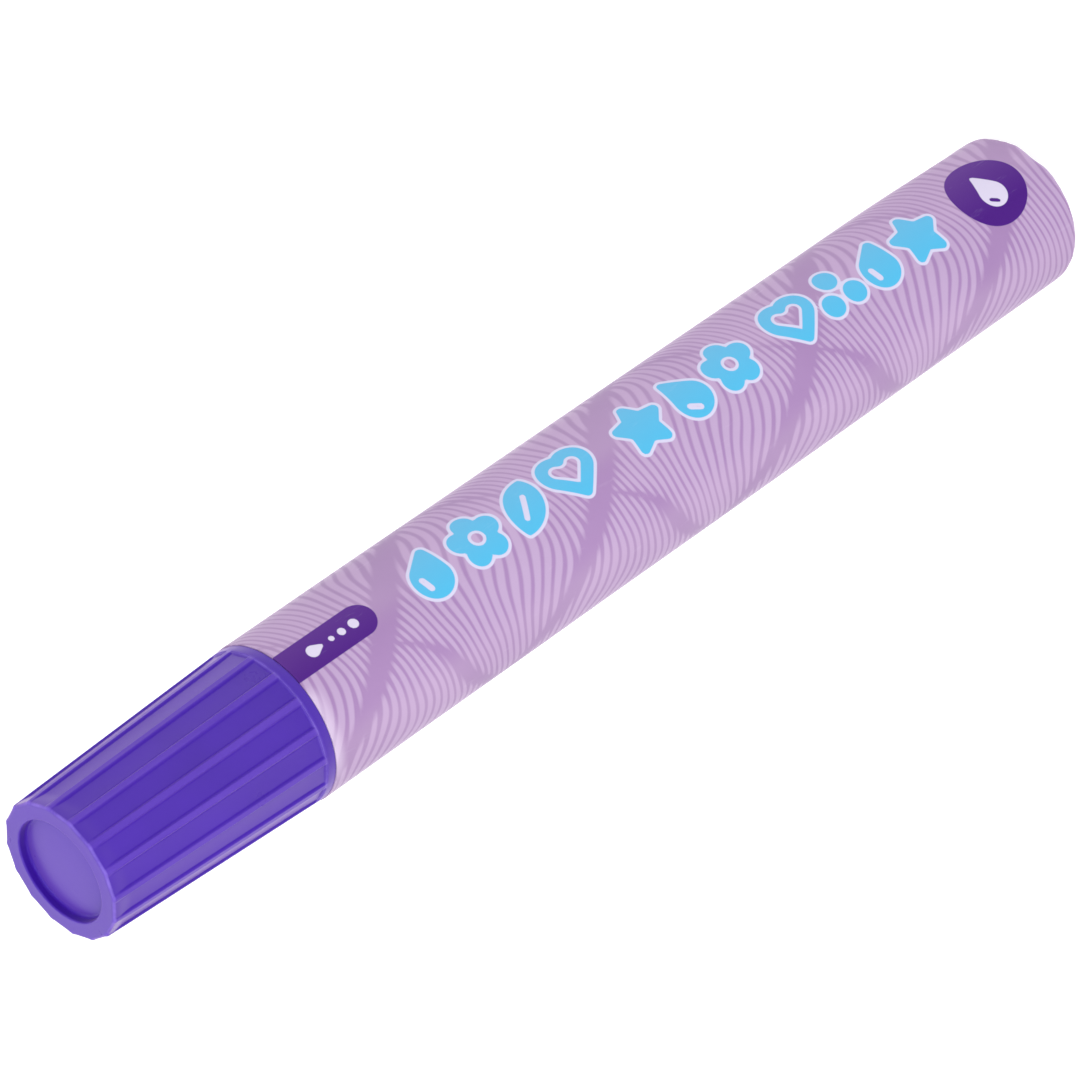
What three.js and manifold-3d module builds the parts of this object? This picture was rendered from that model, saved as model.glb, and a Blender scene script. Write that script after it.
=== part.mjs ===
// Glue tube: a slim squeeze bottle of liquid glue with an applicator tip and a ribbed, tapered screw cap.
// Millimetres, +Z up. The bottle stands on its base at z = 0, with its axis on Z and the front of its print facing -Y.
import * as THREE from "three";
import { mergeVertices } from "three/addons/utils/BufferGeometryUtils.js";
import Module from "manifold-3d";

const wasm = await Module();
wasm.setup();

// ---------------------------------------------------------------- driving dimensions
const LENGTH = 182.3; // base to closed end of the cap

// bottle
const FILM_R = 11.5; // outside of the printed film: the object's widest radius
const FILM_T = 0.12;
const BOTTLE_R = 11.33;
const WALL = 0.7;
const HEEL_R = 1.8; // rounding of the base edge
const BASE_RING_R = 8.0; // inner edge of the flat ring that the bottle stands on
const PUSH_UP = 1.3; // height of the hollow under the base
const SHOULDER_Z = 145.4;
const SHOULDER_ROUND = 0.5;
const NECK_R = 8.6;
const NECK_BORE_R = 7.2;
const NECK_TOP_Z = 158.5;

// quick thread between neck and cap: right-handed, four starts
const STARTS = 4;
const LEAD = 12; // rise in one turn; neighbouring ridges are LEAD / STARTS apart
const NECK_THREAD_R = 9.5;
const NECK_THREAD_Z = 148.6; // middle of a neck ridge at its lower end
const NECK_THREAD_TURN = 130; // degrees
const CAP_THREAD_R = 8.95;
const CAP_THREAD_TURN = 80;

// applicator
const PLUG_SKIRT_R = 7.08;
const PLUG_FLANGE_R = 8.2;
const BOSS_R = 6.9;
const TIP_TOP_Z = 177.8;

// cap
const RIM_Z = 145.6;
const CAP_RIM_R = 11.34; // smooth band at the rim
const CAP_END_R = 9.97; // over the rib crests at the closed end
const BAND_H = 1.55; // height of the smooth band
const RIBS = 16;
const RIB_PHASE = 1.3; // degrees from +X to the first rib
const FLUTE_DEPTH = 0.34; // at a rib's foot
const FLUTE_FLAT = 0.12; // more than that in the middle of a flute, which makes it flat
const END_FACETS_H = 2.6; // over this height at the closed end the flutes run out
const CAP_BORE_R = 9.9;
const RECESS_R = 7.3;
const RECESS_DEPTH = 1.25;

const FINE = 48; // facets round the bottle, film and cap
const SMALL = 36; // facets round the small inner pieces

// ---------------------------------------------------------------- helpers
const rad = THREE.MathUtils.degToRad;

function solid(geometry) {
  let g = geometry.index ? geometry.toNonIndexed() : geometry.clone();
  g.deleteAttribute("normal");
  g.deleteAttribute("uv");
  g = mergeVertices(g, 1e-4);
  const made = new wasm.Manifold(
    new wasm.Mesh({
      numProp: 3,
      vertProperties: new Float32Array(g.attributes.position.array),
      triVerts: new Uint32Array(g.index.array),
    }),
  );
  if (made.volume() < 0) throw new Error("a solid is inside out");
  return made;
}

function geometryOf(manifold) {
  const m = manifold.getMesh();
  const g = new THREE.BufferGeometry();
  g.setAttribute("position", new THREE.BufferAttribute(new Float32Array(m.vertProperties), 3));
  g.setIndex(new THREE.BufferAttribute(new Uint32Array(m.triVerts), 1));
  g.computeVertexNormals();
  return g;
}

// A solid of revolution about Z from [radius, z] points that run round the section with the material on their left.
function turned(points, facets = FINE) {
  const g = new THREE.LatheGeometry(
    points.map(([r, z]) => new THREE.Vector2(r, z)),
    facets,
  );
  g.rotateX(Math.PI / 2); // the lathe turns about Y
  return g;
}

// Points of an arc in the (radius, z) plane, angles in degrees from the outward direction.
function arc(cr, cz, r, from, to, steps) {
  return Array.from({ length: steps + 1 }, (_, i) => {
    const a = rad(from + ((to - from) * i) / steps);
    return [cr + r * Math.cos(a), cz + r * Math.sin(a)];
  });
}

// The path of one thread ridge. Its frame keeps the ridge's section square to the axis, and the ends of an outside
// thread sink into the wall.
class RidgePath extends THREE.Curve {
  constructor(radius, zStart, fromDeg, turnDeg, sink) {
    super();
    Object.assign(this, { radius, zStart, from: rad(fromDeg), turn: rad(turnDeg), sink });
  }
  getPoint(t, target = new THREE.Vector3()) {
    const a = this.from + this.turn * t;
    const end = Math.min(1, Math.min(t, 1 - t) / 0.14);
    const r = this.radius - this.sink * (1 - end) * (1 - end);
    return target.set(r * Math.cos(a), r * Math.sin(a), this.zStart + (LEAD * this.turn * t) / (2 * Math.PI));
  }
  computeFrenetFrames(segments) {
    const tangents = [],
      normals = [],
      binormals = [];
    for (let i = 0; i <= segments; i++) {
      const p = this.getPointAt(i / segments);
      const out = new THREE.Vector3(p.x, p.y, 0).normalize();
      const along = new THREE.Vector3(-out.y, out.x, LEAD / (2 * Math.PI * this.radius)).normalize();
      tangents.push(along);
      normals.push(out);
      binormals.push(new THREE.Vector3().crossVectors(along, out).normalize());
    }
    return { tangents, normals, binormals };
  }
}

// One ridge: section points are [outwards from the path, along the axis].
function ridge(path, section, steps) {
  const shape = new THREE.Shape(section.map(([x, y]) => new THREE.Vector2(x, y)));
  return solid(new THREE.ExtrudeGeometry(shape, { steps, extrudePath: path, bevelEnabled: false }));
}

function piece(name, geometry, color, roughness, metalness = 0) {
  const mesh = new THREE.Mesh(geometry, new THREE.MeshStandardMaterial({ color, roughness, metalness }));
  mesh.name = name;
  return mesh;
}

// ---------------------------------------------------------------- bottle
// Outside: push-up, standing ring, heel, wall, shoulder, neck. Inside: the same, one wall thickness in.
const bottleProfile = [
  [0, PUSH_UP],
  [5.2, PUSH_UP],
  [7.2, 0.45],
  [BASE_RING_R, 0],
  ...arc(BOTTLE_R - HEEL_R, HEEL_R, HEEL_R, -90, 0, 5),
  ...arc(BOTTLE_R - SHOULDER_ROUND, SHOULDER_Z - SHOULDER_ROUND, SHOULDER_ROUND, 0, 90, 4),
  [NECK_R, SHOULDER_Z],
  [NECK_R, NECK_TOP_Z - 0.4],
  [NECK_R - 0.4, NECK_TOP_Z],
  [NECK_BORE_R, NECK_TOP_Z],
  [NECK_BORE_R, SHOULDER_Z - 0.5],
  [9.2, SHOULDER_Z - 1.1],
  [BOTTLE_R - WALL, SHOULDER_Z - 2.6],
  [BOTTLE_R - WALL, 2.7],
  [10.0, 1.5],
  [8.4, 0.95],
  [7.7, 1.1],
  [5.5, PUSH_UP + 0.9],
  [0, PUSH_UP + 0.9],
];
let bottle = solid(turned(bottleProfile));
for (let i = 0; i < STARTS; i++) {
  const path = new RidgePath(NECK_R, NECK_THREAD_Z, (360 / STARTS) * i, NECK_THREAD_TURN, 1.1);
  const crest = NECK_THREAD_R - NECK_R;
  bottle = bottle.add(
    ridge(
      path,
      [
        [-0.35, -0.62],
        [crest, -0.32],
        [crest, 0.32],
        [-0.35, 0.62],
      ],
      14,
    ),
  );
}

// ---------------------------------------------------------------- printed film
const filmIn = FILM_R - FILM_T;
const filmBottom = -52; // how far round the heel the film is drawn, in degrees
const filmProfile = [
  ...arc(BOTTLE_R - HEEL_R, HEEL_R, FILM_R - BOTTLE_R + HEEL_R, filmBottom, 0, 3),
  [FILM_R, SHOULDER_Z - 0.14],
  [FILM_R - 0.04, SHOULDER_Z - 0.1],
  [filmIn, SHOULDER_Z - 0.1],
  ...arc(BOTTLE_R - HEEL_R, HEEL_R, filmIn - BOTTLE_R + HEEL_R, 0, filmBottom, 3),
];
filmProfile.push(filmProfile[0]);

// ---------------------------------------------------------------- glue
const glueProfile = [
  [0, 2.3],
  [5.6, 2.3],
  [7.8, 1.25],
  [8.6, 1.1],
  [9.9, 1.6],
  [10.52, 2.9],
  [10.52, 141.0],
  [0, 141.0],
];

// ---------------------------------------------------------------- metering plug
const FLANGE_Z = NECK_TOP_Z + 0.3;
const FLANGE_T = 1.2;
const BOSS_TOP_Z = 166.0;
const plugProfile = [
  [0, 149.6],
  [6.4, 149.6],
  [PLUG_SKIRT_R, 150.6],
  [PLUG_SKIRT_R, FLANGE_Z],
  [PLUG_FLANGE_R, FLANGE_Z],
  [PLUG_FLANGE_R, FLANGE_Z + FLANGE_T],
  [BOSS_R, FLANGE_Z + FLANGE_T],
  [BOSS_R, BOSS_TOP_Z],
  [5.2, BOSS_TOP_Z],
  [5.2, 160.4],
  [6.0, 159.2],
  [6.0, 150.9],
  [0, 150.9],
];
let plug = solid(turned(plugProfile, SMALL));
const flowHole = (r, x, y) => {
  const g = new THREE.CylinderGeometry(r, r, 4, 12);
  g.rotateX(Math.PI / 2);
  g.translate(x, y, 150.2);
  return solid(g);
};
plug = plug.subtract(flowHole(1.3, 0, 0));
for (let i = 0; i < 6; i++) plug = plug.subtract(flowHole(0.85, 3.7 * Math.cos(rad(60 * i + 30)), 3.7 * Math.sin(rad(60 * i + 30))));

// ---------------------------------------------------------------- rubber tip
// A flange held under the collar, a short tube through it, and a mushroom dome with a slit.
const TIP_FLANGE_Z = BOSS_TOP_Z + 0.3;
const tipProfile = [
  [4.0, TIP_FLANGE_Z],
  [6.8, TIP_FLANGE_Z],
  [6.8, TIP_FLANGE_Z + 1.3],
  [4.95, TIP_FLANGE_Z + 1.3],
  [4.95, 170.2],
  [5.75, 170.9],
  [5.95, 172.2],
  [5.7, 173.9],
  [4.95, 175.5],
  [3.8, 176.7],
  [2.2, 177.5],
  [0, TIP_TOP_Z],
  [0, TIP_TOP_Z - 1.3],
  [2.0, 176.1],
  [3.3, 175.1],
  [4.1, 173.6],
  [4.3, 172.0],
  [4.0, 170.4],
];
tipProfile.push(tipProfile[0]);
let tip = solid(turned(tipProfile, SMALL));
const slit = new THREE.BoxGeometry(6.2, 0.36, 6);
slit.translate(0, 0, TIP_TOP_Z);
tip = tip.subtract(solid(slit));

// ---------------------------------------------------------------- collar over the tip's flange
const COLLAR_Z = FLANGE_Z + FLANGE_T + 0.3;
const collarProfile = [
  [7.15, COLLAR_Z],
  [8.2, COLLAR_Z],
  [8.2, COLLAR_Z + 1.8],
  [7.9, COLLAR_Z + 2.1],
  [7.55, 167.4],
  [7.0, 169.2],
  [6.4, 169.9],
  [5.5, 169.9],
  [5.2, 169.6],
  [5.2, TIP_FLANGE_Z + 1.6],
  [7.15, TIP_FLANGE_Z + 1.6],
];
collarProfile.push(collarProfile[0]);

// ---------------------------------------------------------------- cap
// Everything in the cap is measured up from its rim.
const CAP_H = LENGTH - RIM_Z;
const slope = (CAP_END_R - CAP_RIM_R) / (CAP_H - BAND_H);
const crestAt = (z) => (z < BAND_H ? CAP_RIM_R : CAP_RIM_R - 0.04 + slope * (z - BAND_H));

// Ribs: one tapered body whose section has a rounded rib every 22.5 degrees and flat flutes between.
const ribbed = new THREE.Shape();
const step = 360 / RIBS;
const section = [
  [-3.65, -FLUTE_DEPTH],
  [-2.9, -0.15],
  [-1.8, 0],
  [1.8, 0],
  [2.9, -0.15],
  [3.65, -FLUTE_DEPTH],
  [11.25, -FLUTE_DEPTH - FLUTE_FLAT],
];
for (let i = 0; i < RIBS; i++)
  for (const [a, dr] of section) {
    const r = CAP_RIM_R + dr,
      t = rad(RIB_PHASE + i * step + a);
    ribbed[i === 0 && a === section[0][0] ? "moveTo" : "lineTo"](r * Math.cos(t), r * Math.sin(t));
  }
const ribbedBody = new THREE.ExtrudeGeometry(ribbed, { depth: CAP_H + 0.5 - (BAND_H - 0.25), steps: 1, bevelEnabled: false });
ribbedBody.translate(0, 0, BAND_H - 0.25);
const at = ribbedBody.attributes.position;
for (let i = 0; i < at.count; i++) {
  const k = 1 - (CAP_RIM_R - crestAt(Math.max(at.getZ(i), BAND_H))) / CAP_RIM_R;
  at.setXY(i, at.getX(i) * k, at.getY(i) * k);
}
// Near the closed end the flutes run out into a sixteen-sided edge with its corners on the ribs.
const facets = new THREE.Shape();
for (let i = 0; i < RIBS; i++) {
  const t = rad(RIB_PHASE + i * step);
  facets[i === 0 ? "moveTo" : "lineTo"](Math.cos(t), Math.sin(t));
}
const endFacets = new THREE.ExtrudeGeometry(facets, { depth: END_FACETS_H + 0.5, steps: 1, bevelEnabled: false });
endFacets.translate(0, 0, CAP_H - END_FACETS_H);
const corner = endFacets.attributes.position;
for (let i = 0; i < corner.count; i++) {
  const z = corner.getZ(i);
  const sunk = z < CAP_H - 1 ? (crestAt(z) - FLUTE_DEPTH - FLUTE_FLAT) / Math.cos(rad(step / 2)) : crestAt(CAP_H);
  corner.setXY(i, corner.getX(i) * (sunk - 0.02), corner.getY(i) * (sunk - 0.02));
}
// The envelope rounds the end edge; the band closes the flutes at the rim.
const endRound = 0.55;
const envelope = turned([
  [0, 0],
  [CAP_RIM_R + 0.5, 0],
  [CAP_RIM_R + 0.5, CAP_H - 3],
  [crestAt(CAP_H - 3) + 0.3, CAP_H - 3],
  ...arc(CAP_END_R - endRound, CAP_H - endRound, endRound, 8, 90, 4),
  [0, CAP_H],
]);
const band = turned([
  [0, 0],
  [CAP_RIM_R - 0.14, 0],
  [CAP_RIM_R, 0.14],
  [CAP_RIM_R, BAND_H - 0.2],
  [CAP_RIM_R - 0.12, BAND_H],
  [0, BAND_H],
]);
// The hollow: a lead-in, a straight bore over the thread, a taper up to the liner's bead and seat, the ceiling.
const CEILING = 179.6 - RIM_Z;
const hollow = turned([
  [0, -1],
  [CAP_BORE_R + 0.35, -1],
  [CAP_BORE_R + 0.35, 0.2],
  [CAP_BORE_R, 0.6],
  [CAP_BORE_R, 8.6],
  [9.5, 9.6],
  [8.75, 30.6],
  [8.0, 31.7],
  [8.0, 32.1],
  [8.55, 32.3],
  [8.45, CEILING - 0.2],
  [8.2, CEILING],
  [0, CEILING],
]);
const recess = turned([
  [0, CAP_H - RECESS_DEPTH],
  [RECESS_R - 0.4, CAP_H - RECESS_DEPTH],
  [RECESS_R - 0.12, CAP_H - RECESS_DEPTH + 0.12],
  [RECESS_R, CAP_H - RECESS_DEPTH + 0.4],
  [RECESS_R + 0.02, CAP_H - 0.15],
  [RECESS_R + 0.2, CAP_H],
  [RECESS_R + 0.2, CAP_H + 1],
  [0, CAP_H + 1],
]);
let cap = solid(ribbedBody).add(solid(endFacets)).intersect(solid(envelope)).add(solid(band)).subtract(solid(hollow)).subtract(solid(recess));
for (let i = 0; i < STARTS; i++) {
  // Half a pitch below the neck's ridges, so that the two threads hook under each other.
  const from = (360 / STARTS) * i + 20;
  const z = NECK_THREAD_Z - RIM_Z + (LEAD * 20) / 360 - LEAD / STARTS / 2 + 0.1;
  const path = new RidgePath(CAP_BORE_R, z, from, CAP_THREAD_TURN, 0);
  const crest = CAP_BORE_R - CAP_THREAD_R;
  cap = cap.add(
    ridge(
      path,
      [
        [0.2, -0.55],
        [0.2, 0.55],
        [-crest, 0.3],
        [-crest, -0.3],
      ],
      9,
    ),
  );
}

const linerProfile = [
  [0, 178.25],
  [8.0, 178.25],
  [8.15, 178.4],
  [8.15, 179.15],
  [8.0, 179.3],
  [0, 179.3],
];

// ---------------------------------------------------------------- assembly
const object = new THREE.Group();

const bottleGroup = new THREE.Group();
bottleGroup.add(
  piece("bottle", geometryOf(bottle), 0xf1eef2, 0.42),
  piece("label_sleeve", turned(filmProfile), 0xc3a3d3, 0.32),
  piece("glue_fill", turned(glueProfile, SMALL), 0xe8e6ee, 0.1),
  piece("flow_plug", geometryOf(plug), 0xf4f3f0, 0.45),
  piece("rubber_tip", geometryOf(tip), 0xd9cfe6, 0.7),
  piece("tip_collar", turned(collarProfile, SMALL), 0xf2f0f4, 0.4),
);

const capGroup = new THREE.Group();
capGroup.position.z = RIM_Z;
capGroup.add(piece("cap_shell", geometryOf(cap), 0x5a3cb4, 0.28));

object.add(bottleGroup, capGroup, piece("cap_liner", turned(linerProfile, SMALL), 0xf3f1ea, 0.8));

export default object;
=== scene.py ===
import math

import bmesh
import bpy
import numpy as np
from mathutils import Matrix, Vector


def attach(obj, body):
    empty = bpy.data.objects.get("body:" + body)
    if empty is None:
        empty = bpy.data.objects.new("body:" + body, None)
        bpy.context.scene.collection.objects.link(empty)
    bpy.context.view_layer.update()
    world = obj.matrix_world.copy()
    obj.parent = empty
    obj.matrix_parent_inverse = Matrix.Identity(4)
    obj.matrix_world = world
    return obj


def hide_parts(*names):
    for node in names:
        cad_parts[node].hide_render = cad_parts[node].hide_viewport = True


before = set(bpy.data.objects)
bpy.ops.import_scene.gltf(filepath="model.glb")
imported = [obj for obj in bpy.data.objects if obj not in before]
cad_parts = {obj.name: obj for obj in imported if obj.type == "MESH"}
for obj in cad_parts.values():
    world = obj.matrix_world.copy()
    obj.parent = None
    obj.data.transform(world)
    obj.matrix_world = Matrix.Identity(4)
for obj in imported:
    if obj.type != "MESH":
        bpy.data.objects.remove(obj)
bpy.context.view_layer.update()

MM = 0.001
TAU = 2 * math.pi
SCENE = bpy.context.scene

# ---------------------------------------------------------------- profiles

def arc(cx, cz, radius, a0, a1, steps):
    """Points on an arc, angles in degrees from the +r direction."""
    return [(cx + radius * math.cos(math.radians(a)), cz + radius * math.sin(math.radians(a)))
            for a in np.linspace(a0, a1, steps + 1)]


def rounded(points, closed=False, steps=4):
    """A polyline of (r, z) or (r, z, fillet radius) with its corners filleted."""
    n = len(points)
    out = []
    for i, p in enumerate(points):
        if len(p) < 3 or p[2] <= 0 or (not closed and i in (0, n - 1)):
            out.append((p[0], p[1]))
            continue
        a, b = points[(i - 1) % n], points[(i + 1) % n]
        v, u, w = (np.array(q[:2], float) for q in (p, a, b))
        d1, d2 = u - v, w - v
        l1, l2 = np.linalg.norm(d1), np.linalg.norm(d2)
        d1, d2 = d1 / l1, d2 / l2
        half = math.acos(max(-1, min(1, float(d1 @ d2)))) / 2
        if half > math.radians(88):
            out.append((p[0], p[1]))
            continue
        cut = min(p[2] / math.tan(half), 0.48 * l1, 0.48 * l2)
        radius = cut * math.tan(half)
        middle = v + (d1 + d2) / np.linalg.norm(d1 + d2) * (radius / math.sin(half))
        s, e = v + d1 * cut - middle, v + d2 * cut - middle
        a0 = math.atan2(s[1], s[0])
        turn = (math.atan2(e[1], e[0]) - a0 + math.pi) % TAU - math.pi
        for t in np.linspace(0, 1, steps + 1):
            out.append((middle[0] + radius * math.cos(a0 + turn * t), middle[1] + radius * math.sin(a0 + turn * t)))
    return out


def stepped(profile, step, closed=False):
    """The profile with points added on every stretch longer than step. step may depend on the height."""
    size = step if callable(step) else (lambda z: step)
    out = []
    n = len(profile)
    for i in range(n if closed else n - 1):
        a, b = np.array(profile[i], float), np.array(profile[(i + 1) % n], float)
        length = float(np.linalg.norm(b - a))
        if length < 1e-6:
            continue
        here, k = 0.0, []
        while here < length - 1e-9:
            k.append(here / length)
            here += size(a[1] + (b[1] - a[1]) * here / length)
        out += [tuple(a + (b - a) * t) for t in (np.array(k) * len(k) / (len(k)) if len(k) == 1 else np.linspace(0, 1, len(k) + 1)[:-1])]
    if not closed:
        out.append(tuple(profile[-1]))
    return out


def smooth(edge0, edge1, x):
    t = np.clip((x - edge0) / (edge1 - edge0), 0, 1)
    return t * t * (3 - 2 * t)


# ---------------------------------------------------------------- meshes

def grid_piece(name, rows, fields=None, closed_rows=False):
    """A closed solid from a grid of points in mm, shape (rows, columns, 3). The columns go all the way round. Unless closed_rows is set the first and the last row are drawn together into one point each. fields holds numbers for each grid point."""
    rows = np.asarray(rows, float)
    n, m = rows.shape[:2]
    fields = fields or {}
    if closed_rows:
        body = rows
        points = body.reshape(-1, 3)
        extra = np.zeros((0, 3))
    else:
        body = rows[1:-1]
        extra = np.array([rows[0].mean(0), rows[-1].mean(0)])
        points = np.concatenate([body.reshape(-1, 3), extra])
    k = len(body)
    i = np.arange(k if closed_rows else k - 1)
    j = np.arange(m)
    ii, jj = np.meshgrid(i, j, indexing="ij")
    i2, j2 = (ii + 1) % k, (jj + 1) % m
    quads = np.stack([ii * m + jj, ii * m + j2, i2 * m + j2, i2 * m + jj], -1).reshape(-1, 4)
    faces = quads.tolist()
    if not closed_rows:
        first, last = k * m, k * m + 1
        for c in range(m):
            d = (c + 1) % m
            faces.append([first, d, c])
            faces.append([last, (k - 1) * m + c, (k - 1) * m + d])
    p = points * MM
    tri = np.array([[f[0], f[a], f[a + 1]] for f in faces for a in range(1, len(f) - 1)])
    volume = np.einsum("ij,ij->i", p[tri[:, 0]], np.cross(p[tri[:, 1]], p[tri[:, 2]])).sum() / 6
    if volume < 0:
        faces = [f[::-1] for f in faces]
    mesh = bpy.data.meshes.new(name)
    mesh.from_pydata(p.tolist(), [], faces)
    mesh.validate()
    for key, values in fields.items():
        values = np.asarray(values, float)
        flat = values.reshape(-1) if closed_rows else np.concatenate([values[1:-1].reshape(-1), [values[0].mean(), values[-1].mean()]])
        layer = mesh.attributes.new(key, "FLOAT", "POINT")
        layer.data.foreach_set("value", flat.astype(np.float32))
    mesh.polygons.foreach_set("use_smooth", [True] * len(mesh.polygons))
    mesh.update()
    piece = bpy.data.objects.new(name, mesh)
    SCENE.collection.objects.link(piece)
    return piece


def turned(profile, angles):
    """Grid points for a turned profile, given as (r, z), at these angles in degrees."""
    prof = np.array(profile, float)
    a = np.radians(np.asarray(angles, float))
    r, z = prof[:, 0][:, None], prof[:, 1][:, None]
    return np.stack([r * np.cos(a), r * np.sin(a), np.broadcast_to(z, (len(prof), len(a)))], -1)


def place(piece, material, body, slot, *nodes, sharp=38):
    piece.data.materials.append(material)
    if sharp:
        piece.data.set_sharp_from_angle(angle=math.radians(sharp))
    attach(piece, body)
    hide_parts(*nodes)
    return piece


def even(count, phase=0.0):
    return phase + np.arange(count) * 360.0 / count


# ---------------------------------------------------------------- sizes, mm (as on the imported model)

LENGTH, FILM_R, FILM_TOP = 182.3, 11.5, 145.3
RIM_Z, CAP_H = 145.6, 36.7
LEAD, STARTS = 12.0, 4
RIM_DROP = -0.15          # the moulded rim closes up on the film
VIEW_TURN = -113.5        # direction of the camera seen from the axis, degrees
PRINT_RADIUS = 11.5


def wrap(a):
    return (np.asarray(a, float) + 180.0) % 360.0 - 180.0


# ---------------------------------------------------------------- cap

def cap_mesh():
    rib = [0, 1.0, 1.5, 1.8, 2.05, 2.3, 2.55, 2.8, 3.05, 3.3, 3.55, 3.85, 4.5, 6.2, 8.6]
    half = sorted([-x for x in rib[1:]] + rib + [11.25])
    angles = np.concatenate([1.3 + 22.5 * k + np.array(half) for k in range(16)])
    off = wrap(np.concatenate([np.array(half)] * 16))
    a = np.abs(off)
    # height of the rib over the foot of the flute, and how far the surface lies under the crest line
    bar = 0.34 * smooth(3.75, 1.85, a)
    hollow = 0.12 * (1 - ((11.25 - np.clip(a, 3.7, 11.25)) / 7.55) ** 2)
    flute = 0.34 - bar + hollow
    # at the closed end the flutes run out into a sixteen-sided edge
    facet = 9.9 * (1 - math.cos(math.radians(11.25)) / np.cos(np.radians(11.25 - a))) + 0.05 * (1 - bar / 0.34)
    crest_share = smooth(3.3, 1.7, a)
    flank = 0.42 * smooth(1.8, 2.5, a) * smooth(4.6, 3.5, a)

    def depth_at(z):
        run_out = smooth(CAP_H - 3.0, CAP_H - 0.7, z)
        return flute * (1 - run_out) + facet * run_out

    rows = []
    # rib marks the crests, edge the rounded edges, ledges and recess mouth; the material paints both lighter as
    # highlights
    fields = {"rib": [], "edge": [], "dull": []}

    def add(r, z, share, fillet=0.0, edge=0.0):
        """One row: radius r less the flute's depth times share, then less fillet."""
        rr = r - depth_at(z) * share - fillet
        rows.append(np.stack([rr * np.cos(np.radians(angles)), rr * np.sin(np.radians(angles)), np.full(len(angles), z + RIM_Z)], -1))
        fields["rib"].append(crest_share * (share > 0.45))
        fields["edge"].append(np.full(len(angles), edge))
        fields["dull"].append(flank * float(share > 0.45) * (1 - float(smooth(CAP_H - 1.6, CAP_H - 0.6, z))))

    def crest(z):
        return 11.34 + (9.97 - 11.34) / 35.15 * (z - 1.55) - 0.04

    # outside: rim, collar band, ledge, ribs and flutes, end edge
    for r, z in [(10.86, RIM_DROP + 0.03), (10.95, RIM_DROP), (11.24, RIM_DROP)]:
        add(r, z, 0)
    for t in np.linspace(0, 90, 6)[1:]:
        q = math.radians(t)
        add(11.24 + 0.07 * math.sin(q), RIM_DROP + 0.07 - 0.07 * math.cos(q), 0, edge=0.35 * math.sin(2 * q))
    for z in (0.1, 0.25, 0.45, 0.65, 0.85, 1.05):
        add(11.31 + 0.03 * max(0.0, 1 - ((z - 0.65) / 0.6) ** 2), z, 0)
    step_down = 0.16 * (1 - 0.85 * crest_share)     # the ribs run on into the band
    for t in np.linspace(0, 90, 6)[1:]:
        q = math.radians(t)
        add(11.318, 1.18 + 0.18 * math.sin(q), 0, fillet=step_down * (1 - math.cos(q)), edge=0.8 * math.sin(q))
    for z, share in ((1.40, 0.10), (1.45, 0.28), (1.51, 0.50), (1.57, 0.68), (1.63, 0.78), (1.70, 0.83), (1.80, 0.86)):
        add(11.30, z, share, fillet=step_down * max(0.0, 0.8 - share), edge=max(0.0, 0.75 * (0.9 - share)))
    for z in list(np.linspace(2.0, 4.4, 9)) + list(np.linspace(4.8, 33.4, 13)) + list(np.linspace(33.7, 36.0, 12)):
        add(crest(z), z, 1 - 0.14 * float(smooth(4.2, 1.8, z)))
    EDGE = 0.38
    for t in np.linspace(0, 90, 8):
        q = math.radians(t)
        z = CAP_H - EDGE + EDGE * math.sin(q)
        add(crest(CAP_H - EDGE), z, 1, fillet=EDGE * (1 - math.cos(q)), edge=math.sin(2 * q) * 0.9)
    base = crest(CAP_H - EDGE) - facet - EDGE
    # closed end: flat ring, mouth of the recess, wall, fillet, floor
    ring = [(0.16, 36.7), (0.4, 36.695), (0.7, 36.69), (0.93, 36.7)]
    inner = 7.54
    for t, z in ring:
        r = base * (1 - t) + inner * t
        rows.append(np.stack([r * np.cos(np.radians(angles)), r * np.sin(np.radians(angles)), np.full(len(angles), z + RIM_Z)], -1))
        fields["rib"].append(np.zeros(len(angles)))
        fields["edge"].append(np.zeros(len(angles)))
        fields["dull"].append(np.zeros(len(angles)))

    def plain(r, z, edge=0.0, dull=0.0):
        rows.append(np.stack([r * np.cos(np.radians(angles)), r * np.sin(np.radians(angles)), np.full(len(angles), z + RIM_Z)], -1))
        fields["rib"].append(np.zeros(len(angles)))
        fields["edge"].append(np.full(len(angles), edge))
        fields["dull"].append(np.full(len(angles), dull))

    for t in np.linspace(90, 180, 8):
        q = math.radians(t)
        plain(7.54 + 0.24 * math.cos(q), 36.46 + 0.24 * math.sin(q), edge=0.25 * math.sin(2 * (q - math.pi / 2)), dull=0.5 * float(smooth(100, 140, t)))
    for z in (36.42, 36.3, 36.1, 35.95, 35.87):
        plain(7.29, z, dull=0.5)
    for t in np.linspace(0, 90, 10)[1:]:
        q = math.radians(t)
        plain(6.87 + 0.42 * math.cos(q), 35.87 - 0.42 * math.sin(q), dull=0.5 * float(smooth(90, 20, t)))
    for r in (6.6, 5.7, 4.4, 3.2, 2.0, 1.0, 0.5):
        plain(r, 35.45 + 0.03 * (1 - (r / 6.87) ** 2))
    plain(0.0, 35.45 + 0.03)

    outer = np.array(rows)[::-1]
    f_rib, f_edge, f_dull = (np.array(fields[key])[::-1] for key in ("rib", "edge", "dull"))

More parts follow.
